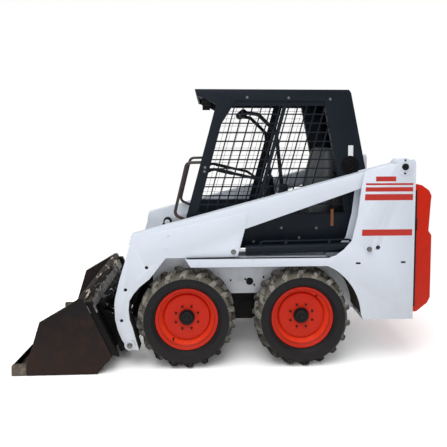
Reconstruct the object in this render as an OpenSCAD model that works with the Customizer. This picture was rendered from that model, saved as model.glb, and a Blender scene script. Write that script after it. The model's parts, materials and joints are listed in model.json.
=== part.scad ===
// Compact skid steer loader in millimetres: +X forward, +Y left, +Z up, standing on z = 0.
// Shapes are drawn from the front axle's centre and moved to the machine's middle at the end.

/* [Wheels] */
// Distance between the two axles
wheelbase = 815; // [780:5:850]
// Outside diameter of a tyre over its lugs
tyre_od = 686; // [660:2:700]
// Width of a tyre across its sidewalls
tyre_width = 212; // [200:2:216]
// Lugs on each half of a tyre's tread
lug_count = 18; // [14:1:22]
// Width of a lug
lug_w = 36; // [26:1:44]
// Height of a lug
lug_h = 22; // [16:1:28]
// Sweep of a lug away from the axle's direction, in degrees
lug_sweep = 32; // [15:1:35]
// Distance between the centre planes of the left and right tyres
track = 838; // [830:2:860]
// Diameter of the rim's flange
rim_od = 440; // [430:2:450]
// Diameter of the seat under the tyre's bead
rim_seat_d = 390; // [380:2:400]
// Width of the rim over its flanges
rim_width = 164; // [150:2:170]
// Diameter of the wheel bolt circle
bolt_circle_d = 152; // [140:2:170]
// Wheel bolts on each wheel
bolt_count = 8; // [5:1:10]
// Diameter of the axle shaft
axle_d = 64; // [56:2:70]

/* [Length] */
// Front axle to the tip of the cutting edge
front_reach = 1180; // [1150:5:1220]
// Rear axle to the tail
rear_reach = 923; // [910:1:940]

/* [Frame] */
// Thickness of the welded side plates
plate_t = 8; // [6:1:10]
// Height of the fender's top face above the axles
fender_h = 432; // [420:2:440]
// Height of the fender bar on the outer plate
fender_bar = 61; // [50:1:66]
// Lowest face of the belly below the axles
belly_drop = 88; // [70:2:110]
// Height of the chain case's top above the axles
chaincase_top = 119; // [100:1:130]
// Gap between the tyre's inner side and the frame
wheel_gap = 13; // [8:1:20]
// Gap between a tyre's tread and the arches around it
arch_gap = 69; // [55:1:75]

/* [Lift arms] */
// Arm pivot behind the rear axle
pivot_back = 700; // [690:5:710]
// Arm pivot above the axles
pivot_h = 1067; // [1050:1:1080]
// Diameter of the arm pivot pin
pivot_d = 50; // [40:2:56]
// Width of one arm
arm_width = 100; // [92:2:110]
// Gap on each side of an arm inside its upright
arm_gap = 8; // [6:1:12]
// Thickness of the outer plate on the arm's front end
overlay_t = 8; // [6:1:10]
// Hitch pin ahead of the front axle
hitch_ahead = 393; // [388:1:400]
// Hitch pin below the axles
hitch_drop = 170; // [160:1:176]
// Diameter of the hitch pin
hitch_pin_d = 38; // [32:2:44]
// Width and height of the crossmember between the arms
cross_size = 90; // [80:2:96]

/* [Cylinders] */
// Diameter of a lift cylinder's barrel
lift_barrel_d = 68; // [60:2:68]
// Diameter of a lift cylinder's rod
lift_rod_d = 40; // [32:2:44]
// Diameter of the pins at a lift cylinder's ends
lift_pin_d = 36; // [30:2:38]
// Diameter of a tilt cylinder's barrel
tilt_barrel_d = 64; // [56:2:66]
// Diameter of a tilt cylinder's rod
tilt_rod_d = 36; // [30:2:38]
// Diameter of the pins at a tilt cylinder's ends
tilt_pin_d = 32; // [28:2:34]

/* [Cab] */
// Width over the cab's side walls
cab_width = 750; // [740:2:760]
// Thickness of a side wall and its posts
wall_t = 40; // [34:1:46]
// Height of the roof above the axles
roof_h = 1612; // [1590:2:1640]
// Depth of the roof's side band
roof_band = 106; // [96:2:116]
// Lower edge of the side windows above the axles
sill_h = 717; // [700:1:730]
// Gap between the cab and the uprights
cab_gap = 10; // [8:1:14]
// Thickness of a side screen's bars
screen_t = 6; // [5:1:8]
// Width of a side screen's bars
screen_bar = 9; // [6:1:12]
// Spacing of the bars of a side screen
screen_pitch = 65; // [55:1:80]
// Diameter of the grab rails
rail_d = 22; // [18:1:26]
// Diameter of a work lamp
lamp_d = 76; // [60:2:96]

/* [Seat] */
// Top of the seat's pan above the axles
pan_h = 560; // [540:2:580]
// Width of the seat
seat_width = 460; // [420:5:470]
// Diameter of the seat bar's tube
bar_d = 28; // [22:1:30]

/* [Bucket] */
// Width of the bucket
bucket_width = 1120; // [1100:5:1180]
// Height of the bucket's back above the hitch pin
bucket_h = 356; // [340:2:370]
// Thickness of the bucket's floor and back
bucket_t = 11; // [8:1:14]
// Thickness of the bucket's sides
bucket_side_t = 8; // [6:1:12]
// Thickness of the cutting edge
edge_t = 18; // [14:1:22]
// Height of the edge's end blocks
block_h = 70; // [50:2:80]

/* [Tail] */
// Width of the tailgate
tailgate_width = 956; // [940:2:964]
// Wall thickness of the tailgate
tailgate_t = 28; // [20:1:34]
// Louvres across the tailgate
gate_slots = 6; // [3:1:8]
// Slots across the rear grille
grille_slots = 7; // [4:1:9]

/* [Fits] */
// Gap round a pin that turns or slides
fit = 0.1; // [0.05:0.01:0.1]
// Gap round a pin that is held
snug = 0.1; // [0.05:0.01:0.2]

/* [Hidden] */
$fn = 48;
axle_z = tyre_od / 2;
ground = -axle_z;
front_axle_x = (wheelbase + rear_reach - front_reach) / 2;
xr = -wheelbase;
tail_x = xr - rear_reach;
// Planes across the machine, from the middle outwards
tyre_in = track / 2 - tyre_width / 2;
frame_y = tyre_in - wheel_gap;
cab_y = cab_width / 2;
cab_in = cab_y - wall_t;
up_in = cab_y + cab_gap;
arm_in = up_in + plate_t + arm_gap;
arm_out = arm_in + arm_width;
up_out = arm_out + arm_gap;
up_face = up_out + plate_t;
lift_y = arm_in + arm_width / 2 - 1;
tilt_y = arm_in - 46;
bucket_y = bucket_width / 2;
// Pin centres as [x, z]
arm_pivot = [xr - pivot_back, pivot_h];
hitch = [hitch_ahead, -hitch_drop];
lift_base = [xr - 458, fender_h + 60];
lift_pin = [-326, fender_h + 46];
tilt_base = hitch + 720 * [cos(105), sin(105)];
lug_r = 140;
lug_a = 70;
tilt_pin = hitch + lug_r * [cos(lug_a), sin(lug_a)];
cab_pivot = [xr - 435, pivot_h - 110];
bar_pivot = [-700, 907];
lift_len = norm(lift_pin - lift_base);
tilt_len = norm(tilt_pin - tilt_base);
lift_stroke = 692;
tilt_stroke = 225;
lift_gland = lift_len - 87;
tilt_gland = tilt_len - 118;
// The uprights
up_rear = xr - 781;
up_floor = -12;
arch_r = axle_z + arch_gap;
tie_hole = [xr - 523, fender_h + 69];
// The cab's leaning posts
post_lean = 0.266;
post_foot = 75;
function post_x(z) = post_foot - post_lean * (z - fender_h);
function mid_x(z) = post_x(z) - 554;
rear_z = cab_pivot[1] + 90;
function rear_x(z) = xr - 477 + 0.208 * (z - rear_z);
// The bucket's leaning back, measured from the hitch pin
lean = 25;
back_gap = 122;
function back_x(z, d = back_gap) = (d + sin(lean) * z) / cos(lean);
bucket_floor = ground - hitch[1] + 2;
edge_tip = front_reach - hitch_ahead;
edge_root = edge_tip - 101;
// Points on an arc round c, from angle a to angle b
function arc(c, r, a, b, n = 10) = [for (i = [0:n])
  c + r * [cos(a + (b - a) * i / n), sin(a + (b - a) * i / n)]];

// Moves a shape drawn from the front axle to its place on the machine
module placed() {
  translate([front_axle_x, 0, axle_z]) children();
}

module left_right() {
  children();
  mirror([0, 1, 0]) children();
}

// A flat plate standing in the side view, from y to y + t
module plate(points, y, t) {
  translate([0, y + t, 0]) rotate([90, 0, 0]) linear_extrude(t) polygon(points);
}

// A round bar across the machine at p, from y to y + l
module bar(p, d, y, l) {
  translate([p[0], y, p[1]]) rotate([-90, 0, 0]) cylinder(d = d, h = l);
}

// Lays a shape drawn along +X from p towards q in the side view
module along(p, q, y) {
  translate([p[0], y, p[1]]) rotate([0, -atan2(q[1] - p[1], q[0] - p[0]), 0]) children();
}

// A tube through points in space, bent to radius r at each corner
function unit(v) = v / norm(v);
function turn(a, b, c) = acos(unit(b - a) * unit(c - b));
module tube(points, d, r) {
  n = len(points) - 1;
  cut = [for (i = [0:n]) i == 0 || i == n ? 0
    : r * tan(turn(points[i - 1], points[i], points[i + 1]) / 2) - 2.5];
  for (i = [0:n - 1]) {
    v = unit(points[i + 1] - points[i]);
    translate(points[i] + v * cut[i]) rotate([0, acos(v[2]), atan2(v[1], v[0])])
      cylinder(d = d, h = norm(points[i + 1] - points[i]) - cut[i] - cut[i + 1]);
  }
  if (n > 1) for (i = [1:n - 1]) {
    u = unit(points[i] - points[i - 1]);
    k = unit(cross(u, points[i + 1] - points[i]));
    w = cross(k, u);
    c = points[i] - u * (cut[i] + 2.5) + w * r;
    multmatrix([
      [-w[0], u[0], k[0], c[0]], [-w[1], u[1], k[1], c[1]], [-w[2], u[2], k[2], c[2]], [0, 0, 0, 1]
    ]) rotate_extrude(angle = turn(points[i - 1], points[i], points[i + 1]))
      translate([r, 0]) circle(d = d + 0.8);
  }
}

// Tub: side plates, belly, front panel and rear crossmember
module main_frame() {
  color("White") placed() {
    left_right() plate([
      [110, fender_h], [258, 262], [340, 238], [408, 150], [408, -30], [360, -belly_drop], [250, -belly_drop],
      [250, chaincase_top - 9], [xr - 258, chaincase_top - 9],
      [xr - 400, up_floor], [up_rear + plate_t, up_floor], [up_rear + plate_t, fender_h]
    ], frame_y - 10, 10);
    plate([
      [258, -belly_drop], [xr - 265, -belly_drop], [xr - 400, up_floor], [up_rear + plate_t, up_floor],
      [up_rear + plate_t, up_floor + 8], [xr - 402, up_floor + 8], [xr - 263, 8 - belly_drop],
      [258, 8 - belly_drop]
    ], 110 - frame_y, 2 * frame_y - 220);
    translate([250, -frame_y, -belly_drop]) cube([8, 2 * frame_y, belly_drop + 262]);
    translate([up_rear + plate_t, -up_in, up_floor]) cube([xr - 424 - up_rear - plate_t, 2 * up_in, 8]);
    translate([up_rear + plate_t, -up_in, up_floor]) cube([14, 2 * up_in, 74]);
  }
}

// Chain case with its two axle housings
module chaincase() {
  color("Black") placed() difference() {
    union() {
      plate([
        [250, 40 - belly_drop], [250, chaincase_top], [xr - 258, chaincase_top], [xr - 258, 60 - belly_drop],
        [xr - 220, -belly_drop], [210, -belly_drop]
      ], frame_y - 110, 100);
      for (x = [0, xr]) bar([x, 0], 120, frame_y - 20, track / 2 - frame_y + 11);
    }
    for (x = [0, xr]) bar([x, 0], axle_d + 2 * fit, frame_y - 60, 200);
  }
}
module chaincase_left() { chaincase(); }
module chaincase_right() { mirror([0, 1, 0]) chaincase(); }

// Outline of the upright above the wheel arch, with its opening's edge
function upright_edge() = concat(
  [[xr - 424, up_floor], [up_rear, up_floor], [up_rear, pivot_h + 23], [up_rear + 12, pivot_h + 53]],
  [[xr - 420, pivot_h - 37], [xr - 399, pivot_h - 149], [xr - 376, fender_h + 291], [xr - 336, fender_h + 117]],
  [[xr - 283, fender_h + 57], [xr - 228, fender_h + 16], [xr - 190, fender_h + 4]]
);
arch_a = acos((fender_h + 4 - fender_bar) / arch_r) + 90;
arch_b = 176;

// Holes for the pins that the two plates of an upright hold, from y inwards
module pin_holes(y) {
  bar(arm_pivot, pivot_d + 2 * snug, y - 1, plate_t + 8);
  bar(lift_base, lift_pin_d + 2 * snug, y - 1, plate_t + 2);
}

// Outer plate of an upright with the fender's bar and the boss of the arm pivot
module upright() {
  color("White") placed() difference() {
    union() {
      plate(concat([[8, fender_h + 4], [-29, fender_h + 4 - fender_bar]],
        arc([xr, 0], arch_r, arch_a, arch_b), upright_edge()), up_out, plate_t);
      bar(arm_pivot, 120, up_face - 1, 5);
    }
    pin_holes(up_out);
    bar(tie_hole, 32, up_out - 1, plate_t + 2);
  }
}
module upright_left() { upright(); }
module upright_right() { mirror([0, 1, 0]) upright(); }

// Inner plate of an upright with the stub that the cab tilts on
module inner_plate() {
  color("White") placed() difference() {
    union() {
      plate(concat(arc([xr, 0], arch_r + plate_t, arch_a, arch_b), upright_edge()), up_in, plate_t);
      bar(cab_pivot, 30, up_in - 40, 42);
    }
    pin_holes(up_in);
  }
}
module inner_plate_left() { inner_plate(); }
module inner_plate_right() { mirror([0, 1, 0]) inner_plate(); }

// Fender top bent down into the wheel arch, and the plates that close the upright behind and below
module fender() {
  color("White") placed() {
    plate(concat([[-10, fender_h], [-10, fender_h - plate_t], [xr - 165, fender_h - plate_t]],
      arc([xr, 0], arch_r, arch_a, arch_b), arc([xr, 0], arch_r + plate_t, arch_b, arch_a),
      [[xr - 176, fender_h]]),
      frame_y, up_out - frame_y);
    plate([
      [xr - 424, up_floor], [up_rear, up_floor], [up_rear, pivot_h - 77], [up_rear + plate_t, pivot_h - 77],
      [up_rear + plate_t, up_floor + plate_t], [xr - 424, up_floor + plate_t]
    ], up_in + plate_t, up_out - up_in - plate_t);
  }
}
module fender_left() { fender(); }
module fender_right() {
  mirror([0, 1, 0]) fender();
  color("White") placed() hinge_lugs();
}

// Lugs and pins on the right side that the tailgate swings on
hinge_pin = [up_rear - 22, -(tailgate_width / 2 + 18)];
hinge_z = [180, 760];
module hinge_lugs() {
  outer = min(hinge_pin[1], -up_out);
  for (z = hinge_z) {
    translate([hinge_pin[0], hinge_pin[1], z]) cylinder(d = 28, h = 12);
    translate([hinge_pin[0], outer, z]) cube([up_rear - hinge_pin[0] + 4, hinge_pin[1] + 13 - outer, 12]);
    translate([up_rear - 3, outer, z]) cube([7, -up_in - plate_t - outer, 12]);
    translate([hinge_pin[0], hinge_pin[1], z]) cylinder(d = 18, h = 62);
  }
}

// Pins of the arm pivots and of the lift cylinders' fixed ends
module pivot_pins() {
  color("Silver") placed() left_right() {
    bar(arm_pivot, pivot_d, up_in, up_face + 4 - up_in);
    bar(arm_pivot, pivot_d + 26, up_face + 4, 6);
    bar(lift_base, lift_pin_d, up_in, up_face - up_in);
    bar(lift_base, lift_pin_d + 20, up_face, 7);
  }
}

// Engine as one plain block on the rear floor
module engine_block() {
  color("DimGray") placed() translate([up_rear + 40, -230, up_floor + 8]) cube([270, 460, 650]);
}

// Grille over the engine, between the uprights
module rear_grille() {
  color("Black") placed() difference() {
    union() {
      translate([up_rear + 4, -up_in, pivot_h - 127]) cube([276, 2 * up_in, 10]);
      translate([up_rear + 4, -up_in, pivot_h - 167]) cube([8, 2 * up_in, 42]);
    }
    for (i = [0:grille_slots - 1])
      translate([up_rear + 36 + i * 222 / grille_slots, -300, pivot_h - 130]) cube([16, 600, 16]);
  }
}

// Tailgate, a hollow bulged door
function gate_edge(w) = [
  [up_rear - 8, 940 - w], [tail_x + 78 + w / 2, 935 - w], [tail_x + 23 + w, 895 - w / 2], [tail_x + 6 + w, 858],
  [tail_x + 10 + w, 816], [tail_x + 22 + w, 609], [tail_x + w, 576], [tail_x + w, 127 + w / 2],
  [tail_x + 20 + w, 86 + w / 2], [tail_x + 98 + w / 2, 24 + w], [up_rear - 8, 24 + w]
];
module tailgate() {
  color("OrangeRed") placed() {
    difference() {
      plate(gate_edge(0), -tailgate_width / 2, tailgate_width);
      plate(concat([[up_rear + 10, 940 - tailgate_t]], gate_edge(tailgate_t), [[up_rear + 10, 24 + tailgate_t]]),
        tailgate_t - tailgate_width / 2, tailgate_width - 2 * tailgate_t);
      for (i = [0:gate_slots - 1]) translate([tail_x - 1, -260, 170 + i * 360 / gate_slots])
        rotate([0, -25, 0]) cube([tailgate_t + 30, 520, 24]);
    }
    for (z = hinge_z) difference() {
      union() {
        translate([hinge_pin[0], hinge_pin[1], z + 12.3]) cylinder(d = 34, h = 44);
        translate([hinge_pin[0] - 17, hinge_pin[1], z + 12.3]) cube([17, 30, 44]);
      }
      translate([hinge_pin[0], hinge_pin[1], z]) cylinder(d = 18 + 2 * fit, h = 70);
    }
  }
}

// Outline of the arm's front end, from its top corner round the hitch pin to the rod's pin
arm_front = [
  hitch + [-21, 749], hitch + [68, 458], hitch + [98, 335], hitch + [104, 290], hitch + [100, 180],
  hitch + [84, 110], hitch + [57, 40], hitch + [20, -20], hitch + [-64, -42],
  hitch + [-41, 38], hitch + [-20, 122], hitch + [0, 178], hitch + [7, 248], hitch + [1, 312],
  hitch + [-28, 359], hitch + [-69, 407], hitch + [-138, 462], [142, fender_h + 6], [3, fender_h + 7],
  lift_pin + [-29, -36], lift_pin + [-82, 168], lift_pin + [-93, 273]
];
arm_tube = [
  arm_pivot + [0, 33], hitch + [-15, 766], hitch + [0, 700], [100, fender_h + 120], lift_pin + [-93, 161],
  arm_pivot + [0, -50]
];

// One lift arm: tapered tube, drop plate in front of the wheel and the pins it carries
module lift_arm() {
  color("White") placed() difference() {
    union() {
      bar(arm_pivot, 116, arm_in, arm_width);
      plate(arm_tube, arm_in, arm_width - overlay_t);
      plate(arm_front, arm_in, arm_width);
      bar(lift_pin, 64, arm_out - 1, 5);
      bar(hitch, 76, arm_out - 1, 5);
      bar(tilt_base, tilt_pin_d, tilt_y - 33, arm_in - tilt_y + 34);
      bar(tilt_base, tilt_pin_d + 14, tilt_y - 39, 6);
    }
    bar(arm_pivot, pivot_d + 2 * fit, arm_in - 1, arm_width + 2);
    bar(hitch, hitch_pin_d + 2 * snug, arm_in - 1, arm_width + 8);
    plate([lift_pin + [-160, -90], lift_pin + [60, -90], lift_pin + [60, 52], lift_pin + [-160, 52]],
      arm_in + 10, arm_width - 22);
    for (p = [hitch + [-119, 543], hitch + [27, 389], hitch + [56, 172]]) bar(p, 24, arm_out - 40, 50);
  }
}
module lift_arm_left() { lift_arm(); }
module lift_arm_right() { mirror([0, 1, 0]) lift_arm(); }

// Tube that ties the two arms together in front
module arm_crossmember() {
  color("White") placed() translate([hitch[0] - 38, -arm_in, hitch[1] + 452])
    cube([cross_size, 2 * arm_in, cross_size]);
}

module hitch_pins() {
  color("Silver") placed() left_right() {
    bar(hitch, hitch_pin_d, tilt_y - 50, arm_out + 6 - tilt_y + 50);
    bar(hitch, hitch_pin_d + 18, arm_out + 4, 5);
  }
}

// Cylinder barrel from its base eye to its gland
module barrel(p, q, y, d, rod_d, pin_d, eye_w, gland) {
  along(p, q, y) difference() {
    union() {
      translate([0, eye_w / 2, 0]) rotate([90, 0, 0]) cylinder(d = pin_d + 40, h = eye_w);
      translate([20, 0, 0]) rotate([0, 90, 0]) cylinder(d = d, h = gland - 20);
    }
    translate([0, d, 0]) rotate([90, 0, 0]) cylinder(d = pin_d + 2 * fit, h = 2 * d);
    translate([pin_d / 2 + 34, 0, 0]) rotate([0, 90, 0]) cylinder(d = rod_d + 2 * fit, h = gland);
  }
}

// Cylinder rod, from start inside its barrel to the eye at reach
module rod(p, q, y, rod_d, pin_d, eye_w, start, reach) {
  along(p, q, y) difference() {
    union() {
      translate([start, 0, 0]) rotate([0, 90, 0]) cylinder(d = rod_d, h = reach - start - 10);
      translate([reach, eye_w / 2, 0]) rotate([90, 0, 0]) cylinder(d = pin_d + 36, h = eye_w);
    }
    translate([reach, 50, 0]) rotate([90, 0, 0]) cylinder(d = pin_d + 1, h = 100);
  }
}
module lift_barrel() {
  color("Black") placed()
    barrel(lift_base, lift_pin, lift_y, lift_barrel_d, lift_rod_d, lift_pin_d, 52, lift_gland);
}
module lift_rod() {
  color("Silver") placed()
    rod(lift_base, lift_pin, lift_y, lift_rod_d, lift_pin_d, 50, lift_gland - lift_stroke - 70, lift_len);
}
module tilt_barrel() {
  color("Black") placed()
    barrel(tilt_base, tilt_pin, tilt_y, tilt_barrel_d, tilt_rod_d, tilt_pin_d, 50, tilt_gland);
}
module tilt_rod() {
  color("Silver") placed()
    rod(tilt_base, tilt_pin, tilt_y, tilt_rod_d, tilt_pin_d, 40, tilt_gland - tilt_stroke - 50, tilt_len);
}
module lift_barrel_left() { lift_barrel(); }
module lift_barrel_right() { mirror([0, 1, 0]) lift_barrel(); }
module lift_rod_left() { lift_rod(); }
module lift_rod_right() { mirror([0, 1, 0]) lift_rod(); }
module tilt_barrel_left() { tilt_barrel(); }
module tilt_barrel_right() { mirror([0, 1, 0]) tilt_barrel(); }
module tilt_rod_left() { tilt_rod(); }
module tilt_rod_right() { mirror([0, 1, 0]) tilt_rod(); }

// Places a shape drawn upright behind the bucket's back, with the hitch pin at its origin
module at_hitch() {
  placed() translate([hitch[0], 0, hitch[1]]) rotate([0, lean, 0]) children();
}
rod_lug = lug_r * [cos(lug_a + lean), sin(lug_a + lean)];
lug_d = tilt_pin_d + 28;

// Quick hitch: face plates, two cross bars and the ears for the pins
module hitch_frame() {
  color("Black") at_hitch() {
    left_right() {
      translate([back_gap - 14, 200, -58]) cube([14, arm_in - 11 - 200, 388]);
      for (y = [tilt_y - 43, tilt_y + 29]) difference() {
        union() {
          plate([[-30, -30], [back_gap - 6, -56], [back_gap - 6, 300],
            [rod_lug[0] + 8, rod_lug[1] + lug_d / 2 - 2], [rod_lug[0] - lug_d / 2 + 4, rod_lug[1] + 10]], y, 13);
          bar([0, 0], hitch_pin_d + 46, y, 13);
          bar(rod_lug, lug_d, y, 13);
        }
        bar([0, 0], hitch_pin_d + 2 * fit, y - 1, 15);
      }
      bar(rod_lug, tilt_pin_d + 12, tilt_y - 50, 8);
    }
    translate([back_gap - 56, 11 - arm_in, 286]) cube([56, 2 * arm_in - 22, 44]);
    translate([back_gap - 44, 11 - arm_in, -58]) cube([44, 2 * arm_in - 22, 42]);
  }
}

// Hand levers that lock the bucket on the hitch
module hitch_levers() {
  color("Silver") at_hitch() left_right() {
    translate([back_gap - 28, 285, 330]) cylinder(d = 34, h = 12);
    translate([back_gap - 34, 0, 0]) rotate([90, 0, 90]) linear_extrude(12)
      polygon([[276, 338], [294, 338], [292, 384], [266, 412], [200, 420], [200, 402], [258, 394], [275, 376]]);
  }
}

// Bucket: floor, leaning back, sides, top lip and end ribs
function bucket_side() = [
  [back_x(bucket_h), bucket_h], [326, bucket_h], [594, bucket_h - 159], [edge_root, bucket_floor + block_h],
  [edge_root, bucket_floor], [215, bucket_floor], [187, bucket_floor + 31], [back_x(-50), -50]
];
module bucket_shell() {
  color("DarkSlateGray") placed() translate([hitch[0], 0, hitch[1]]) {
    difference() {
      plate(bucket_side(), -bucket_y, bucket_width);
      plate([
        [back_x(bucket_h - 12) + bucket_t, bucket_h - 12], [900, bucket_h - 12], [900, bucket_floor + bucket_t],
        [220, bucket_floor + bucket_t], [196, bucket_floor + 38], [back_x(-46) + bucket_t, -46]
      ], bucket_side_t - bucket_y, bucket_width - 2 * bucket_side_t);
    }
    left_right() plate([
      [back_x(330, back_gap + 5), 330], [back_x(330, 86), 330], [back_x(-60, 86), -60],
      [back_x(-40, back_gap + 5), -40]
    ], up_face, bucket_y - up_face - 10);
  }
}

// Cutting edge with the raised blocks at its ends
module cutting_edge() {
  color("SlateGray") placed() translate([hitch[0], 0, hitch[1]]) {
    plate([
      [edge_root, bucket_floor], [edge_tip, bucket_floor], [edge_tip, bucket_floor + 6],
      [edge_tip - 40, bucket_floor + edge_t], [edge_root, bucket_floor + edge_t]
    ], -bucket_y, bucket_width);
    left_right() translate([edge_root, bucket_y - 34, bucket_floor]) cube([edge_tip - edge_root, 34, block_h]);
  }
}

// Outline of a cab side: roof band with its visor, front post, sill and rear post
function cab_side() = [
  [-58, roof_h], [-72, roof_h - 47], [-129, roof_h - 63], [post_x(roof_h - roof_band), roof_h - roof_band],
  [post_x(fender_h), fender_h], [xr - 365, fender_h], [xr - 472, cab_pivot[1] - 8],
  [rear_x(rear_z), rear_z], [rear_x(roof_h - 22), roof_h - 22], [rear_x(roof_h) + 12, roof_h]
];
window_top = roof_h - roof_band + 24;
function window_edge() = [
  [post_x(window_top - 180) - 68, window_top - 180], [post_x(sill_h) - 68, sill_h],
  [rear_x(sill_h) + 216, sill_h], [rear_x(window_top) + 206, window_top], [post_x(window_top) - 133, window_top]
];
module cab_wall() {
  color("Black") placed() {
    difference() {
      plate(cab_side(), cab_in, wall_t);
      plate(window_edge(), cab_in - 1, wall_t + 2);
      bar(cab_pivot, 30 + 2 * fit, cab_in - 1, wall_t + 2);
    }
    bar(bar_pivot, 24, cab_in - 67, 70);
    plate([bar_pivot + [-60, -230], bar_pivot + [60, -230], bar_pivot + [28, 26], bar_pivot + [-28, 26]],
      cab_in, 12);
  }
}
module cab_wall_left() { cab_wall(); }
module cab_wall_right() { mirror([0, 1, 0]) cab_wall(); }

// Mesh screen that fills a side window: a middle bar of width w moved forward by s, a band b deep on top
module side_screen(w, s, b) {
  color("Black") placed() translate([0, cab_y - 14 + screen_t, 0]) rotate([90, 0, 0]) linear_extrude(screen_t)
    intersection() {
      polygon(window_edge());
      union() {
        for (i = [-4:13]) translate([-i * screen_pitch, 0])
          polygon([[post_x(400), 400], [post_x(roof_h), roof_h], [post_x(roof_h) - screen_bar, roof_h],
            [post_x(400) - screen_bar, 400]]);
        for (z = [sill_h:screen_pitch:roof_h]) translate([-1300, z]) square([1400, screen_bar]);
        translate([s, 0]) polygon([
          [mid_x(400), 400], [mid_x(roof_h), roof_h], [mid_x(roof_h) - w, roof_h], [mid_x(400) - w, 400]
        ]);
        translate([-1300, window_top - b]) square([1400, b + 1]);
      }
    }
}
module side_screen_left() { side_screen(28, 74, 26); }
module side_screen_right() { mirror([0, 1, 0]) side_screen(75, 110, 6); }

// Roof panel with its front lip
module cab_roof() {
  color("Black") placed() plate([
    [-58, roof_h], [-72, roof_h - 47], [-84, roof_h - 47], [-78, roof_h - 16],
    [rear_x(roof_h - 16) + 30, roof_h - 16], [rear_x(roof_h) + 12, roof_h]
  ], -cab_in, 2 * cab_in);
}

// Rear wall of the cab with its window
module cab_back() {
  color("Black") placed() difference() {
    plate([
      [rear_x(roof_h - 18), roof_h - 18], [rear_x(roof_h - 18) + 26, roof_h - 18], [rear_x(rear_z) + 26, rear_z],
      [xr - 446, cab_pivot[1] + 22], [xr - 472, cab_pivot[1] + 22], [rear_x(rear_z), rear_z]
    ], -cab_in, 2 * cab_in);
    translate([xr - 600, -250, cab_pivot[1] + 233]) cube([400, 500, roof_h - 122 - cab_pivot[1] - 233]);
  }
}

// Pan that carries the seat and closes the cab behind it
module seat_pan() {
  color("Black") placed() plate([
    [-460, fender_h], [-460, pan_h], [xr - 335, pan_h], [xr - 436, cab_pivot[1] + 20],
    [xr - 446, cab_pivot[1] + 20], [xr - 345, pan_h - 10], [-470, pan_h - 10], [-470, fender_h]
  ], -cab_in, 2 * cab_in);
}

module seat_cushion() {
  color("Gray") placed() plate([
    [-480, pan_h], [-470, pan_h + 70], [-500, pan_h + 97], [-895, pan_h + 84], [-959, pan_h]
  ], -seat_width / 2, seat_width);
}
module seat_back() {
  color("Gray") placed() plate([
    [-965, pan_h], [-915, pan_h + 86], [-930, pan_h + 190], [-1022, pan_h + 585], [-1052, pan_h + 640],
    [-1105, pan_h + 640], [-1142, pan_h + 590], [-1092, pan_h + 120], [-1092, pan_h]
  ], -seat_width / 2, seat_width);
}

// Grab rails on the front posts
module grab_rails() {
  color("Black") placed() left_right() difference() {
    tube([[-150, cab_y - 20, 1093], [1, cab_y - 20, 1089], [92, cab_y - 20, 712], [0, cab_y - 20, 672]],
      rail_d, 40);
    plate([[post_x(1300), 1300], [post_x(500), 500], [-400, 500], [-400, 1300]], cab_in, wall_t);
  }
}

// Work lamps under the roof's front edge
module work_lamps() {
  color("Black") placed() left_right() {
    translate([-172, 262, roof_h - 70]) rotate([0, 90, 0]) cylinder(d = lamp_d, h = 56);
    translate([-160, 250, roof_h - 60]) cube([30, 24, 44]);
  }
}

// Steering levers with their grips
module control_levers() {
  y = cab_in - 19;
  color("Black") placed() left_right() {
    translate([-640, y, pan_h]) cylinder(d = 34, h = 8);
    tube([[-640, y, pan_h + 3], [-600, y, 900], [-500, y, 970], [-190, y, 1041], [-150, y, 1022]], 22, 60);
    along([-190, 1041], [-500, 970], y) translate([34, 0, 0]) rotate([0, 90, 0]) cylinder(d = 28, h = 110);
  }
}

// Seat bar, raised to the roof
module seat_bar() {
  y = cab_in - 55;
  side = [[bar_pivot[0], bar_pivot[1]], [-655, 1310], [-520, 1440], [-420, 1452]];
  color("Black") placed() difference() {
    union() {
      tube(concat([for (p = side) [p[0], y, p[1]]], [for (i = [3:-1:0]) [side[i][0], -y, side[i][1]]]),
        bar_d, 40);
      left_right() {
        bar(bar_pivot, 48, y - 10, 20);
        bar(side[3], 62, 60, 130);
      }
    }
    bar(bar_pivot, 24 + 2 * fit, -cab_in, 2 * cab_in);
  }
}

// Turns a profile of [radius, outwards] round an axle, at x on the left side
module turned(x, points) {
  placed() translate([x, track / 2, 0]) rotate([-90, 0, 0]) rotate_extrude() polygon(points);
}
// Carcass section, from the bead to the tread between the lugs
function tyre_half() = [
  [rim_seat_d / 2 + snug, 0], [rim_seat_d / 2 + snug, rim_width / 2 - 8 - snug],
  [rim_od / 2 + 1, rim_width / 2 - 8 - snug], [rim_od / 2 + 12, tyre_width / 2 - 14],
  [rim_od / 2 + 42, tyre_width / 2 - 3], [axle_z - 53, tyre_width / 2], [axle_z - 34, tyre_width / 2 - 8],
  [axle_z - lug_h, tyre_width / 2 - 34], [axle_z - lug_h, 0]
];
// Section that the lugs fill on one half, sloping down over the shoulder
function lug_space() = [
  [axle_z - 60, 2], [axle_z, 2], [axle_z, tyre_width / 2 - 26], [axle_z - 9, tyre_width / 2 - 8],
  [axle_z - 44, tyre_width / 2 - 1], [axle_z - 60, tyre_width / 2 - 4]
];
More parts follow.
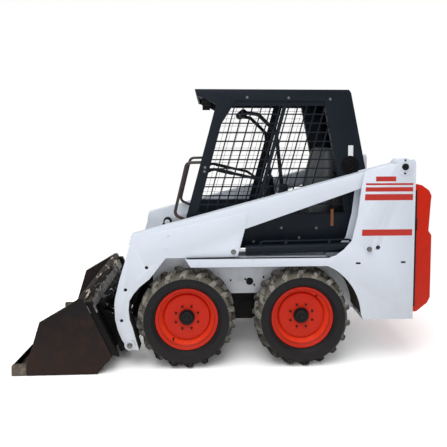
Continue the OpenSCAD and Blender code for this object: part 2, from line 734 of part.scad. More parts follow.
// Tyre: turned carcass with two staggered rows of swept lugs, trimmed to the turned section
module tyre(x) {
  h = tyre_half();
  color("Black") {
    turned(x, concat(h, [for (i = [len(h) - 1:-1:0]) [h[i][0], -h[i][1]]]));
    for (k = [0, 1]) intersection() {
      turned(x, [for (p = lug_space()) [p[0], k == 0 ? p[1] : -p[1]]]);
      for (i = [0:lug_count - 1]) placed() translate([x, track / 2, 0])
        rotate([0, (i + k / 2) * 360 / lug_count, 0]) mirror([0, k, 0])
          translate([0, tyre_width / 4, 60 - axle_z]) rotate([0, 0, lug_sweep])
          translate([-lug_w / 2, -tyre_width / 2, -80]) cube([lug_w, tyre_width, 80]);
    }
  }
}
module wheel(x) {
  w = rim_width / 2;
  s = rim_seat_d / 2;
  color("OrangeRed") {
    turned(x, [
      [0, -140], [axle_d / 2, -140], [axle_d / 2, 6], [92, 6], [92, 26], [s - 26, 26], [s - 8, 12], [s - 8, -w],
      [rim_od / 2, -w], [rim_od / 2, 8 - w], [s, 8 - w], [s, w - 8], [rim_od / 2, w - 8],
      [rim_od / 2, w], [s - 8, w], [s - 8, 28], [s - 22, 35], [58, 35], [56, 62], [0, 62]
    ]);
    for (i = [0:bolt_count - 1])
      placed() translate([x, track / 2, 0]) rotate([0, i * 360 / bolt_count, 0])
        bar([bolt_circle_d / 2, 0], 20, 34, 13);
  }
}
module tyre_front_left() { tyre(0); }
module tyre_front_right() { mirror([0, 1, 0]) tyre(0); }
module tyre_rear_left() { tyre(xr); }
module tyre_rear_right() { mirror([0, 1, 0]) tyre(xr); }
module wheel_front_left() { wheel(0); }
module wheel_front_right() { mirror([0, 1, 0]) wheel(0); }
module wheel_rear_left() { wheel(xr); }
module wheel_rear_right() { mirror([0, 1, 0]) wheel(xr); }

main_frame();
chaincase_left();
chaincase_right();
upright_left();
upright_right();
inner_plate_left();
inner_plate_right();
fender_left();
fender_right();
pivot_pins();
engine_block();
rear_grille();
tailgate();
lift_arm_left();
lift_arm_right();
arm_crossmember();
hitch_pins();
lift_barrel_left();
lift_barrel_right();
lift_rod_left();
lift_rod_right();
tilt_barrel_left();
tilt_barrel_right();
tilt_rod_left();
tilt_rod_right();
hitch_frame();
hitch_levers();
bucket_shell();
cutting_edge();
cab_wall_left();
cab_wall_right();
cab_roof();
cab_back();
side_screen_left();
side_screen_right();
seat_pan();
seat_cushion();
seat_back();
grab_rails();
work_lamps();
control_levers();
seat_bar();
tyre_front_left();
tyre_front_right();
tyre_rear_left();
tyre_rear_right();
wheel_front_left();
wheel_front_right();
wheel_rear_left();
wheel_rear_right();
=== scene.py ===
import json
import math

import bmesh
import bpy
from mathutils import Matrix, Vector
from mathutils.geometry import interpolate_bezier


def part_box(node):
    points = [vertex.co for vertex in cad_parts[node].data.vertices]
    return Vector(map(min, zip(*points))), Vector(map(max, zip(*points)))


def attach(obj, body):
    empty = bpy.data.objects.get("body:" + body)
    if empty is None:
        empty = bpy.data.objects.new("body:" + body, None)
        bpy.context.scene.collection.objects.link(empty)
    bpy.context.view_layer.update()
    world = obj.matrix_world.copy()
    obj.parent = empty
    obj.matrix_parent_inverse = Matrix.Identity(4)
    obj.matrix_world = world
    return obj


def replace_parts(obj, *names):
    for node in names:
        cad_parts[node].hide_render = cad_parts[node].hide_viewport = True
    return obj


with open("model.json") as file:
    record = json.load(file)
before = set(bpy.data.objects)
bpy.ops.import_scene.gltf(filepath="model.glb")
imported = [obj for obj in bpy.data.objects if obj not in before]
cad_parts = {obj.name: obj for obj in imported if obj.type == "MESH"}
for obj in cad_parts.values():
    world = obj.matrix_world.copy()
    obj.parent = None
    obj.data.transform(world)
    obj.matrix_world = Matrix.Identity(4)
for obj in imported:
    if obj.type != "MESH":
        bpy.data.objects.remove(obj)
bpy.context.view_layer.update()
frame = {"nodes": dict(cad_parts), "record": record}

scene = bpy.context.scene
scene.view_settings.view_transform = "Standard"
bodies = frame["record"]["behaviour"]["bodies"]
nodeBody = {node: body for body, names in bodies.items() for node in names}
wheelLow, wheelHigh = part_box("wheel_front_left")
axle = (wheelLow + wheelHigh) / 2  # front axle centre, the point all sizes below start from
print("frame loaded,", len(nodeBody), "solids")


def mm(size):
    return size / 1000


def perMm(size):
    return 1000 / size  # texture scale for a feature of that many millimetres


def spot(x, y, z):
    return Vector((axle.x + mm(x), mm(y), axle.z + mm(z)))  # mm from the front axle, y from the machine's middle


def colour(hexCode):
    parts = [int(hexCode[i:i + 2], 16) / 255 for i in (0, 2, 4)]
    return [p / 12.92 if p <= 0.04045 else ((p + 0.055) / 1.055) ** 2.4 for p in parts] + [1.0]  # sRGB to linear


def addNode(tree, kind, wires=None, **settings):
    node = tree.nodes.new(kind)
    for key, value in settings.items():
        setattr(node, key, value)
    for key, value in (wires or {}).items():
        if isinstance(value, bpy.types.NodeSocket):
            tree.links.new(value, node.inputs[key])
        else:
            node.inputs[key].default_value = value
    return node


def newMaterial(name):
    material = bpy.data.materials.new(name)
    material.use_nodes = True
    tree = material.node_tree
    shader = tree.nodes["Principled BSDF"]
    place = addNode(tree, "ShaderNodeTexCoord").outputs["Object"]
    return material, tree, shader, place


# what all finishes share: how finely each pattern breaks up, and the height in m where dust (on tyres, painted shade)
# is thickest
finishSet = {"patchDetail": 5.0, "patchRough": 0.6, "blotchDetail": 8.0, "blotchRough": 0.72, "grainDetail": 3.0,
             "roughSpan": (0.3, 0.7), "ground": 0.05, "noDustAndShade": (0.0, 0.3, "4d453a"), "coatRough": 0.18}


def weathered(name, look):
    # one coat of finish: tone patches, a second colour in blotches, dust near the ground (painted shade on the tyres),
    # fine grain.
    # Sizes are in mm; worn is (from, softness, amount), dust and painted shade (amount, top in m, colour), grain (size,
    # bump, depth)
    material, tree, shader, place = newMaterial(name)
    wornFrom, wornSoft, worn = look["worn"]
    dustAndShade, dustAndShadeTop, dustAndShadeColour = look.get("dustAndShade", finishSet["noDustAndShade"])
    grain, bump, depth = look["grain"]
    patches = addNode(tree, "ShaderNodeTexNoise", {
        "Vector": place, "Scale": perMm(look["patch"]),
        "Detail": finishSet["patchDetail"], "Roughness": finishSet["patchRough"]})
    tone = addNode(tree, "ShaderNodeMix", {
        0: patches.outputs["Fac"], 6: colour(look["base"]), 7: colour(look["shade"])}, data_type="RGBA")
    along = addNode(tree, "ShaderNodeVectorMath", {0: place, 1: look.get("stretch", (1, 1, 1))}, operation="MULTIPLY")
    blotches = addNode(tree, "ShaderNodeTexNoise", {
        "Vector": along.outputs[0], "Scale": perMm(look["blotch"]),
        "Detail": finishSet["blotchDetail"], "Roughness": finishSet["blotchRough"]})
    bare = addNode(tree, "ShaderNodeMapRange", {
        "Value": blotches.outputs["Fac"], "From Min": wornFrom, "From Max": wornFrom + wornSoft, "To Max": worn})
    coat = addNode(tree, "ShaderNodeMix", {
        0: bare.outputs["Result"], 6: tone.outputs[2], 7: colour(look["second"])}, data_type="RGBA")
    height = addNode(tree, "ShaderNodeSeparateXYZ", {"Vector": place})
    low = addNode(tree, "ShaderNodeMapRange", {
        "Value": height.outputs["Z"], "From Min": dustAndShadeTop, "From Max": finishSet["ground"], "To Max": dustAndShade})
    specksAndShade = addNode(tree, "ShaderNodeMath", {
        0: low.outputs["Result"], 1: blotches.outputs["Fac"]}, operation="MULTIPLY", use_clamp=True)
    dustedAndShaded = addNode(tree, "ShaderNodeMix", {
        0: specksAndShade.outputs[0], 6: coat.outputs[2], 7: colour(dustAndShadeColour)}, data_type="RGBA")
    smoothest, roughest = look["rough"]
    rough = addNode(tree, "ShaderNodeMapRange", {
        "Value": blotches.outputs["Fac"], "From Min": finishSet["roughSpan"][0], "From Max": finishSet["roughSpan"][1],
        "To Min": smoothest, "To Max": roughest})
    grains = addNode(tree, "ShaderNodeTexNoise", {
        "Vector": place, "Scale": perMm(grain), "Detail": finishSet["grainDetail"]})
    bumps = addNode(tree, "ShaderNodeBump", {"Height": grains.outputs["Fac"], "Strength": bump, "Distance": mm(depth)})
    tree.links.new(dustedAndShaded.outputs[2], shader.inputs["Base Color"])
    tree.links.new(rough.outputs["Result"], shader.inputs["Roughness"])
    tree.links.new(bumps.outputs["Normal"], shader.inputs["Normal"])
    shader.inputs["Metallic"].default_value = look.get("metal", 0.0)
    shader.inputs["Specular IOR Level"].default_value = look.get("gloss", 0.5)
    if "coat" in look:
        shader.inputs["Coat Weight"].default_value = look["coat"]
        shader.inputs["Coat Roughness"].default_value = finishSet["coatRough"]
    return material


# sprayed enamel on plate steel: faint orange peel, cool white, dusty only near the ground
whitePaint = weathered("sprayed_enamel_white", {
    "base": "d4dae4", "shade": "c8d0db", "patch": 420, "second": "b4b6b6", "blotch": 60, "worn": (0.62, 0.12, 0.3),
    "dustAndShade": (0.5, 0.75, "9a9184"), "rough": (0.34, 0.5), "grain": (5, 0.06, 0.4), "gloss": 0.4})
# the tub's white, seldom washed, painted brighter than the other white enamel: painted light that lifts the shade the
# tub sits in
tubPaintLifted = weathered("dusty_enamel_white_painted_lift", {
    "base": "e0e4ea", "shade": "cfd3d8", "patch": 240, "second": "a8a49b", "blotch": 80, "worn": (0.5, 0.2, 0.45),
    "dustAndShade": (0.5, 0.75, "8c8478"), "rough": (0.45, 0.62), "grain": (6, 0.1, 0.4), "gloss": 0.35})
# the same enamel in orange red, rubbed duller where hands and boots reach
orangePaint = weathered("sprayed_enamel_orange", {
    "base": "c82408", "shade": "b41c06", "patch": 180, "second": "821d0f", "blotch": 45, "worn": (0.6, 0.14, 0.45),
    "dustAndShade": (0.25, 0.5, "7d4a38"), "rough": (0.36, 0.52), "grain": (5, 0.06, 0.4), "gloss": 0.18})
# the rim's outer barrel: a lighter copy of the orange enamel, a painted highlight for the light the barrel catches from
# above
barrelHighlightPaint = weathered("highlighted_enamel_orange", {
    "base": "e8401f", "shade": "d8371a", "patch": 60, "second": "e2705a", "blotch": 22, "worn": (0.58, 0.1, 0.4),
    "rough": (0.3, 0.45), "grain": (5, 0.06, 0.4), "gloss": 0.35})
# satin black cab paint with a blue cast and a film of dust
cabPaint = weathered("satin_enamel_black", {
    "base": "121a24", "shade": "0c131b", "patch": 300, "second": "1f2832", "blotch": 70, "worn": (0.6, 0.2, 0.3),
    "dustAndShade": (0.08, 0.9, "3a362f"), "rough": (0.4, 0.58), "grain": (4, 0.08, 0.4), "gloss": 0.16})
# black chassis paint, oily and muddy low down; the same black is also painted shade on the tub's front ends
chassisPaintAndShade = weathered("chassis_enamel_black_and_painted_shade", {
    "base": "0c0c0f", "shade": "070709", "patch": 200, "second": "1c1a17", "blotch": 60, "worn": (0.55, 0.2, 0.4),
    "dustAndShade": (0.25, 0.5, "3a342b"), "rough": (0.45, 0.7), "grain": (6, 0.15, 0.6), "gloss": 0.1})
# bucket plate: black paint scoured off, brown oxide left on rolled steel
bucketSteel = weathered("oxidised_plate_steel", {
    "base": "1c1a1b", "shade": "151415", "patch": 260, "second": "33241f", "blotch": 90, "worn": (0.5, 0.16, 0.7),
    "dustAndShade": (1.0, 0.5, "37261f"), "rough": (0.5, 0.75), "grain": (9, 0.3, 0.8), "gloss": 0.12})
# the rear half of the bucket's lip, scuffed to mottled grey steel
scuffedSteel = weathered("scuffed_plate_steel", {
    "base": "5d5b59", "shade": "8c8c8c", "patch": 60, "second": "c8c1b2", "blotch": 26, "worn": (0.55, 0.05, 0.9),
    "rough": (0.4, 0.65), "grain": (6, 0.25, 0.6), "metal": 0.3})
# the front half of the lip: brown oxide with bright streaks that run across the machine
streakedLip = weathered("streaked_plate_steel", {
    "base": "2a211d", "shade": "1d1817", "patch": 120, "second": "d8ccb4", "blotch": 24, "worn": (0.555, 0.04, 0.95),
    "stretch": (1, 0.16, 1), "rough": (0.45, 0.7), "grain": (6, 0.25, 0.6), "gloss": 0.2})
# hitch: black paint with short bright scratches
scratchedBlack = weathered("scratched_enamel_black", {
    "base": "0e0f13", "shade": "08090b", "patch": 150, "second": "a4a5a6", "blotch": 30, "worn": (0.585, 0.03, 0.9),
    "stretch": (1, 0.5, 0.4), "dustAndShade": (0.1, 0.4, "3a342b"), "rough": (0.45, 0.7), "grain": (6, 0.15, 0.6),
    "gloss": 0.1})
# cutting edge: ground bright by soil, brown in the pits
edgeSteel = weathered("scoured_edge_steel", {
    "base": "5d554b", "shade": "494138", "patch": 80, "second": "857b6e", "blotch": 40, "worn": (0.52, 0.1, 0.8),
    "dustAndShade": (0.2, 0.2, "4f4335"), "rough": (0.35, 0.6), "grain": (6, 0.25, 0.6), "metal": 0.6})
# tyre sidewall: moulded rubber gone slightly grey
sideRubber = weathered("moulded_tyre_rubber", {
    "base": "151619", "shade": "0e0f11", "patch": 90, "second": "2b2523", "blotch": 35, "worn": (0.56, 0.2, 0.4),
    "dustAndShade": (0.2, 0.4, "4a3d37"), "rough": (0.5, 0.75), "grain": (4, 0.2, 0.5), "gloss": 0.2})
# tread between the lugs: grey mud, darkened towards the ground as painted shade
dampMud = weathered("damp_mud_on_tread_painted_shade", {
    "base": "6b675d", "shade": "46433c", "patch": 50, "second": "807b70", "blotch": 30, "worn": (0.54, 0.1, 0.6),
    "dustAndShade": (1.9, 0.5, "141312"), "rough": (0.75, 0.95), "grain": (8, 0.7, 2.0), "gloss": 0.15})
# lugs under a skin of dried mud, darkened towards the ground as painted shade
mudRubber = weathered("dried_mud_on_tread_painted_shade", {
    "base": "96928a", "shade": "625f58", "patch": 55, "second": "262421", "blotch": 34, "worn": (0.5, 0.08, 0.8),
    "dustAndShade": (2.0, 0.5, "171615"), "rough": (0.8, 0.97), "grain": (7, 0.7, 2.0), "gloss": 0.15})
# enamel behind the wheels: mud in the rear arches, and painted shade on the lift arms' legs
mudAndShadeSteel = weathered("mud_and_painted_shade_on_enamel", {
    "base": "3d382f", "shade": "24211c", "patch": 70, "second": "6a6458", "blotch": 45, "worn": (0.56, 0.14, 0.5),
    "rough": (0.75, 0.95), "grain": (9, 0.6, 1.5), "gloss": 0.1})
# hard chrome on the cylinder rods
chromeRod = weathered("hard_chromed_rod", {
    "base": "c8c9cb", "shade": "b9babd", "patch": 120, "second": "9a9a98", "blotch": 30, "worn": (0.6, 0.1, 0.4),
    "dustAndShade": (0.1, 0.3, "8a8478"), "rough": (0.12, 0.25), "grain": (3, 0.02, 0.2), "metal": 1.0})
# zinc plated pins and bolts, dulled
zincSteel = weathered("dull_zinc_steel", {
    "base": "7f807f", "shade": "6a6b6b", "patch": 40, "second": "4a4741", "blotch": 14, "worn": (0.5, 0.2, 0.6),
    "dustAndShade": (0.2, 0.4, "5e564a"), "rough": (0.4, 0.6), "grain": (2, 0.1, 0.2), "metal": 0.8})
# blackened bolts and hub caps
blackBolt = weathered("phosphated_bolt_steel", {
    "base": "101012", "shade": "0a0a0b", "patch": 30, "second": "2a2521", "blotch": 12, "worn": (0.55, 0.2, 0.5),
    "dustAndShade": (0.1, 0.5, "3d362d"), "rough": (0.4, 0.6), "grain": (2, 0.15, 0.2), "gloss": 0.18})
# engine casting under oil and dust
castIron = weathered("oily_cast_iron", {
    "base": "3a3b3c", "shade": "2c2c2d", "patch": 120, "second": "1c1a18", "blotch": 50, "worn": (0.5, 0.2, 0.7),
    "dustAndShade": (0.3, 0.8, "57503f"), "rough": (0.5, 0.8), "grain": (3, 0.5, 0.8), "metal": 0.3})
# grab rails: dark maroon primer through thin black paint
railPaint = weathered("rubbed_rail_paint", {
    "base": "2a1a1b", "shade": "1b1516", "patch": 120, "second": "5a2a26", "blotch": 60, "worn": (0.52, 0.15, 0.7),
    "rough": (0.3, 0.5), "grain": (3, 0.05, 0.2)})
# side stripes: cast red tape with a satin face
stripeTape = weathered("cast_vinyl_tape_red", {
    "base": "b92d22", "shade": "ad271e", "patch": 150, "second": "c86457", "blotch": 25, "worn": (0.66, 0.06, 0.4),
    "rough": (0.36, 0.48), "grain": (3, 0.02, 0.1), "gloss": 0.35})
# blank labels in the same tape
whiteTape = weathered("cast_vinyl_tape_white", {
    "base": "dcdfe0", "shade": "cdd0d0", "patch": 60, "second": "9b9a95", "blotch": 12, "worn": (0.6, 0.1, 0.5),
    "rough": (0.35, 0.5), "grain": (3, 0.02, 0.1)})
# moulded grips and foam pads; the same black is also painted shade in the arms' holes, the upright's slots and the
# fender gap
gripRubberAndShade = weathered("moulded_grip_rubber_and_painted_shade", {
    "base": "121213", "shade": "0c0c0d", "patch": 50, "second": "201f1e", "blotch": 18, "worn": (0.55, 0.2, 0.5),
    "rough": (0.6, 0.8), "grain": (2, 0.3, 0.4), "gloss": 0.25})
# woven door strap, sun bleached to tan
tanWebbing = weathered("bleached_webbing", {
    "base": "8d5d3a", "shade": "7a4c30", "patch": 40, "second": "5b3a2a", "blotch": 12, "worn": (0.55, 0.15, 0.6),
    "rough": (0.7, 0.85), "grain": (3, 0.4, 0.4), "gloss": 0.2})
# seat cover: grained vinyl, grey and shiny where it is sat on; grain drawn at 5 mm so it shows
seatVinyl = weathered("grained_seat_vinyl", {
    "base": "55595c", "shade": "46494c", "patch": 140, "second": "33363a", "blotch": 60, "worn": (0.55, 0.15, 0.6),
    "rough": (0.42, 0.62), "grain": (5, 0.35, 0.7)})
# lamp reflector and lens
lampLens = weathered("fluted_polycarbonate", {
    "base": "cfd3d3", "shade": "b7bcbd", "patch": 25, "second": "8d9294", "blotch": 9, "worn": (0.55, 0.15, 0.5),
    "rough": (0.12, 0.25), "grain": (6, 0.5, 1.0), "coat": 0.8})
print("finishes mixed")

# each solid's finish, found by the longest of these starts that its name has
nodeFinish = {
    "main_frame": tubPaintLifted, "chaincase": chassisPaintAndShade, "upright": whitePaint, "inner_plate": whitePaint,
    "fender": whitePaint, "pivot_pins": whitePaint, "engine_block": castIron, "rear_grille": cabPaint,
    "tailgate": orangePaint, "lift_arm": whitePaint, "arm_crossmember": whitePaint, "hitch_pins": whitePaint,
    "lift_barrel": cabPaint, "tilt_barrel": chassisPaintAndShade, "lift_rod": chromeRod, "tilt_rod": chromeRod,
    "hitch_frame": chassisPaintAndShade, "hitch_levers": zincSteel, "bucket_shell": bucketSteel, "cutting_edge": edgeSteel,
    "cab": cabPaint, "side_screen": cabPaint, "seat_pan": cabPaint, "seat_cushion": seatVinyl, "seat_back": seatVinyl,
    "grab_rails": railPaint, "work_lamps": gripRubberAndShade, "control_levers": gripRubberAndShade, "seat_bar": gripRubberAndShade,
    "tyre": sideRubber, "wheel": orangePaint}
for name, solid in frame["nodes"].items():
    start = max((start for start in nodeFinish if name.startswith(start)), key=len)
    solid.data.materials.clear()
    solid.data.materials.append(nodeFinish[start])

mergeGap = 1e-5  # m, points nearer than this are one
flatAngle = math.radians(1)


def finishPiece(name, bm, materials, body, smooth=35):
    mesh = bpy.data.meshes.new(name)
    bm.to_mesh(mesh)
    bm.free()
    for material in materials:
        mesh.materials.append(material)
    mesh.shade_smooth()
    mesh.set_sharp_from_angle(angle=math.radians(smooth))
    piece = bpy.data.objects.new(name, mesh)
    scene.collection.objects.link(piece)
    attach(piece, body)
    return piece


def pairOf(name, build, materials, body, smooth=35):
    # the same piece on both sides of the machine, the right one mirrored
    for hand in ("left", "right"):
        bm = bmesh.new()
        build(bm)
        if hand == "right":
            bmesh.ops.scale(bm, vec=(1, -1, 1), verts=bm.verts)
            bmesh.ops.reverse_faces(bm, faces=bm.faces)
        finishPiece(name + "_" + hand, bm, materials, body.replace("side", hand), smooth)


def onePiece(name, build, materials, body):
    bm = bmesh.new()
    build(bm)
    return finishPiece(name, bm, materials, body)


def allOf(bm):
    return bm.verts[:] + bm.edges[:] + bm.faces[:]


def edgesAt(verts):
    return list(dict.fromkeys(edge for v in verts for edge in v.link_edges))


def roundEdges(bm, edges, width, segments=2, clamp=False):
    bmesh.ops.bevel(bm, geom=edges, offset=mm(width), affect="EDGES", segments=segments, profile=0.5, material=-1,
                    clamp_overlap=clamp)


def plainMesh(node):
    # the solid's own mesh, its flat faces whole again
    bm = bmesh.new()
    bm.from_mesh(frame["nodes"][node].data)
    bmesh.ops.remove_doubles(bm, verts=bm.verts, dist=mergeGap)
    bmesh.ops.dissolve_limit(bm, angle_limit=flatAngle, verts=bm.verts, edges=bm.edges)
    return bm


def addBox(bm, low, high):
    verts = bmesh.ops.create_cube(bm, size=1)["verts"]
    bmesh.ops.scale(bm, vec=high - low, verts=verts)
    bmesh.ops.translate(bm, vec=(low + high) / 2, verts=verts)
    return verts


def addCopy(bm, source, matrix):
    copy = bpy.data.meshes.new("copy")
    source.to_mesh(copy)
    copy.transform(matrix)
    if matrix.determinant() < 0:
        copy.flip_normals()
    bm.from_mesh(copy)
    bpy.data.meshes.remove(copy)


def spinSection(bm, section, steps):
    # a closed section of (radius, height along Y) points, turned once round the Y axis
    ring = [bm.verts.new((0, mm(y), mm(r))) for r, y in section]
    edges = [bm.edges.new((ring[i], ring[(i + 1) % len(ring)])) for i in range(len(ring))]
    bmesh.ops.spin(bm, geom=ring + edges, cent=(0, 0, 0), axis=(0, 1, 0), dvec=(0, 0, 0), angle=math.tau, steps=steps,
                   use_merge=True)
    bmesh.ops.remove_doubles(bm, verts=bm.verts, dist=mergeGap)
    bmesh.ops.recalc_face_normals(bm, faces=bm.faces)


def addTurned(bm, profile, place, turn=Matrix.Identity(4), steps=32):
    part = bmesh.new()
    spinSection(part, profile, steps)
    addCopy(bm, part, Matrix.Translation(place) @ turn)
    part.free()


outward = Matrix.Rotation(-math.pi / 2, 4, "X")  # turns a bolt's +Z to the left side
forward = Matrix.Rotation(-math.pi / 2, 4, "Z")  # turns +Y to the front
upward = Matrix.Rotation(math.pi / 2, 4, "X")  # turns +Y to the top
boltSet = {"sides": 6, "edge": 1.5, "edgeShare": 6, "smooth": 30}


def addBolt(bm, place, turn, across, high):
    verts = bmesh.ops.create_cone(
        bm, cap_ends=True, segments=boltSet["sides"], radius1=mm(across / 2), radius2=mm(across / 2), depth=mm(high),
        matrix=Matrix.Translation(place) @ turn @ Matrix.Translation((0, 0, mm(high / 2))))["verts"]
    roundEdges(bm, edgesAt(verts), min(boltSet["edge"], high / boltSet["edgeShare"]))


tubeSet = {"bend": 30, "sides": 14, "pull": 0.55, "bendPoints": 7, "room": 2.1}


def roundCorners(points, bend):
    path = [points[0]]
    for before, point, after in zip(points, points[1:], points[2:]):
        start, end = (point + (other - point).normalized() * min(bend, (other - point).length / tubeSet["room"])
                      for other in (before, after))
        path += interpolate_bezier(start, start.lerp(point, tubeSet["pull"]), end.lerp(point, tubeSet["pull"]), end,
                                   tubeSet["bendPoints"])
    return path + [points[-1]]


def addTube(bm, corners, diameter, bend=tubeSet["bend"], sides=tubeSet["sides"]):
    # a ring drawn along the path, kept square to it
    points = roundCorners([spot(*corner) for corner in corners], mm(bend))
    heading = (points[1] - points[0]).normalized()
    ringNow = Matrix.Translation(points[0]) @ heading.to_track_quat("Z", "Y").to_matrix().to_4x4()
    ring = bmesh.ops.create_circle(bm, cap_ends=True, segments=sides, radius=mm(diameter / 2), matrix=ringNow)["verts"]
    face = ring[0].link_faces[0]
    for i in range(1, len(points)):
        last = face
        grown = bmesh.ops.extrude_face_region(bm, geom=[last])["geom"]
        face = next(part for part in grown if isinstance(part, bmesh.types.BMFace))
        if i > 1:
            bmesh.ops.delete(bm, geom=[last], context="FACES_ONLY")
        ahead = (points[min(i + 1, len(points) - 1)] - points[i - 1]).normalized()
        turn = heading.rotation_difference(ahead).to_matrix().to_4x4()
        ringNext = Matrix.Translation(points[i]) @ turn @ Matrix.Translation(-points[i - 1]) @ ringNow
        bmesh.ops.transform(bm, matrix=ringNext @ ringNow.inverted(), verts=face.verts)
        ringNow, heading = ringNext, ahead
    bmesh.ops.recalc_face_normals(bm, faces=bm.faces)


# plate work with its cut edges broken: the solid's own shape, edges rounded by these mm
edgeBreak = {
    "main_frame": 2, "upright_left": 3, "upright_right": 3, "inner_plate_left": 2, "inner_plate_right": 2,
    "fender_left": 2, "fender_right": 2, "lift_arm_left": 4, "lift_arm_right": 4, "arm_crossmember": 8,
    "tailgate": 7, "bucket_shell": 2.5, "cutting_edge": 4, "hitch_frame": 2.5, "chaincase_left": 6,
    "chaincase_right": 6, "cab_wall_left": 5, "cab_wall_right": 5, "cab_roof": 4, "cab_back": 4, "seat_pan": 2,
    "rear_grille": 2, "engine_block": 12}
breakSet = {"crease": math.radians(28), "shortest": 1e-6}
# where a plate's finish changes: a point on each line and the way across it
finishLines = {"main_frame": [((256, 0, 0), (1, 0, 0))],
               "bucket_shell": [((393, 0, 80), (0, 0, 1)), ((393, 0, 132), (0, 0, 1))]}


def breakEdges(name, width):
    bm = plainMesh(name)
    edges = [e for e in bm.edges if len(e.link_faces) == 2 and e.calc_face_angle() > breakSet["crease"]]
    roundEdges(bm, edges, width, clamp=True)
    bmesh.ops.dissolve_degenerate(bm, dist=breakSet["shortest"], edges=bm.edges)
    for at, across in finishLines.get(name, []):
        bmesh.ops.bisect_plane(bm, geom=allOf(bm), plane_co=spot(*at), plane_no=across)
    piece = finishPiece(name + "_plate", bm, [frame["nodes"][name].data.materials[0]], nodeBody[name])
    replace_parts(piece, name)
    return piece


def paintFaces(piece, material, chosen):
    piece.data.materials.append(material)
    for face in piece.data.polygons:
        if chosen(face):
            face.material_index = len(piece.data.materials) - 1


plates = {name: breakEdges(name, width) for name, width in edgeBreak.items()}

# dark mud colour on the faces that look at a wheel: mud in the rear arches of fender and inner plate, painted shade on
# the lift arms' legs; each plate with the x of its axle
archSet = {"reach": 440, "facing": 0.55, "plates": {"lift_arm": 0, "fender": -815, "inner_plate": -815}}


def facesAxle(x):
    def chosen(face):
        way = Vector((spot(x, 0, 0).x - face.center.x, 0, spot(0, 0, 0).z - face.center.z))
        return way.length < mm(archSet["reach"]) and face.normal.dot(way.normalized()) > archSet["facing"]
    return chosen


for plate, x in archSet["plates"].items():
    for hand in ("left", "right"):
        paintFaces(plates[plate + "_" + hand], mudAndShadeSteel, facesAxle(x))

# the tub's front ends, ahead of their finish line, painted black: painted shade between the lift arm and the front tyre
tubFront = spot(*finishLines["main_frame"][0][0]).x
paintFaces(plates["main_frame"], chassisPaintAndShade, lambda face: face.center.x > tubFront)

# the bucket's back and end ribs keep their black paint; the faces near the top, above these heights, are rubbed
backSet = {"pin": (393, 0, -170), "lean": math.radians(25), "gap": 123, "facingUp": 0.3, "facingFront": 0.5,
           "rubbed": [("bucket_shell", 80, scuffedSteel), ("bucket_shell", 132, streakedLip),
                      ("hitch_frame", -20, scratchedBlack)]}
hitchPin = spot(*backSet["pin"])
backWay = Vector((math.cos(backSet["lean"]), 0, -math.sin(backSet["lean"])))


def onBack(face):
    return (face.center - hitchPin).dot(backWay) < mm(backSet["gap"])


def rubbedAbove(z):
    def chosen(face):
        upper = face.center.z > spot(0, 0, z).z
        return upper and face.normal.z > backSet["facingUp"] and face.normal.x < backSet["facingFront"]
    return chosen


paintFaces(plates["bucket_shell"], chassisPaintAndShade, onBack)
for name, z, finish in backSet["rubbed"]:
    paintFaces(plates[name], finish, rubbedAbove(z))
print("plate edges broken")

# tyres: carcass spun from its section, then two staggered rows of swept lugs that run over the shoulder.
# A lug's stations: y and radius of its top, y and radius of its foot, sweep in degrees, width
tyreSet = {
    "section": [(195.2, 0), (195.2, 65.6), (221, 65.6), (224, 74), (227, 79), (230, 79.5), (233, 84), (244, 95),
                (247, 98.5), (251, 99.5), (254, 99), (266, 104), (282, 106), (290, 105), (293, 106), (297, 105),
                (307, 99), (314, 90), (318, 70), (319, 0)],
    "stations": [(4, 343, 4, 312, -5.1, 33), (34, 343, 34, 312, -2.0, 34), (62, 342.5, 62, 311, 0.9, 36),
                 (85, 339, 84, 306, 3.2, 39), (100, 327, 95, 301, 4.9, 42), (105.5, 298, 99, 292, 5.8, 43)],
    "lugs": 18, "steps": 80, "topShare": 0.8, "footShare": 1.1, "lugEdge": 3.0, "crease": math.radians(35),
    "mudFrom": 300, "smooth": 40}


def makeLug():
    # a unit cube cut along Y at the stations, each of its points then sent to its place on the tyre
    bm = bmesh.new()
    bmesh.ops.create_cube(bm, size=1)
    along = [e for e in bm.edges if abs(e.verts[0].co.y - e.verts[1].co.y) > 0.5]
    last = len(tyreSet["stations"]) - 1
    bmesh.ops.subdivide_edges(bm, edges=along, cuts=last - 1)
    for v in bm.verts:
        yTop, rTop, yFoot, rFoot, sweep, wide = tyreSet["stations"][round((v.co.y + 0.5) * last)]
        y, r, share = (yTop, rTop, tyreSet["topShare"]) if v.co.z > 0 else (yFoot, rFoot, tyreSet["footShare"])
        angle = math.radians(sweep) + v.co.x * wide * share / r
        v.co = mm(r) * Vector((math.sin(angle), 0, math.cos(angle))) + Vector((0, mm(y), 0))
    bmesh.ops.recalc_face_normals(bm, faces=bm.faces)
    roundEdges(bm, [e for e in bm.edges if e.calc_face_angle() > tyreSet["crease"]], tyreSet["lugEdge"])
    return bm


def radiusOf(face):
    middle = face.calc_center_median()
    return math.hypot(middle.x, middle.z)


def makeTyre():
    # finishes: 0 side, 1 lugs, 2 tread
    bm = bmesh.new()
    half = tyreSet["section"]
    spinSection(bm, half + [(r, -y) for r, y in reversed(half[1:-1])], tyreSet["steps"])
    for face in bm.faces:
        face.material_index = 2 if radiusOf(face) > mm(tyreSet["mudFrom"]) else 0
    lug = makeLug()
    for face in lug.faces:
        face.material_index = 1
    pitch = math.tau / tyreSet["lugs"]
    for i in range(tyreSet["lugs"]):
        addCopy(bm, lug, Matrix.Rotation(i * pitch, 4, "Y"))
        addCopy(bm, lug, Matrix.Rotation((i + 0.5) * pitch, 4, "Y") @ Matrix.Scale(-1, 4, (0, 1, 0)))
    lug.free()
    return bm


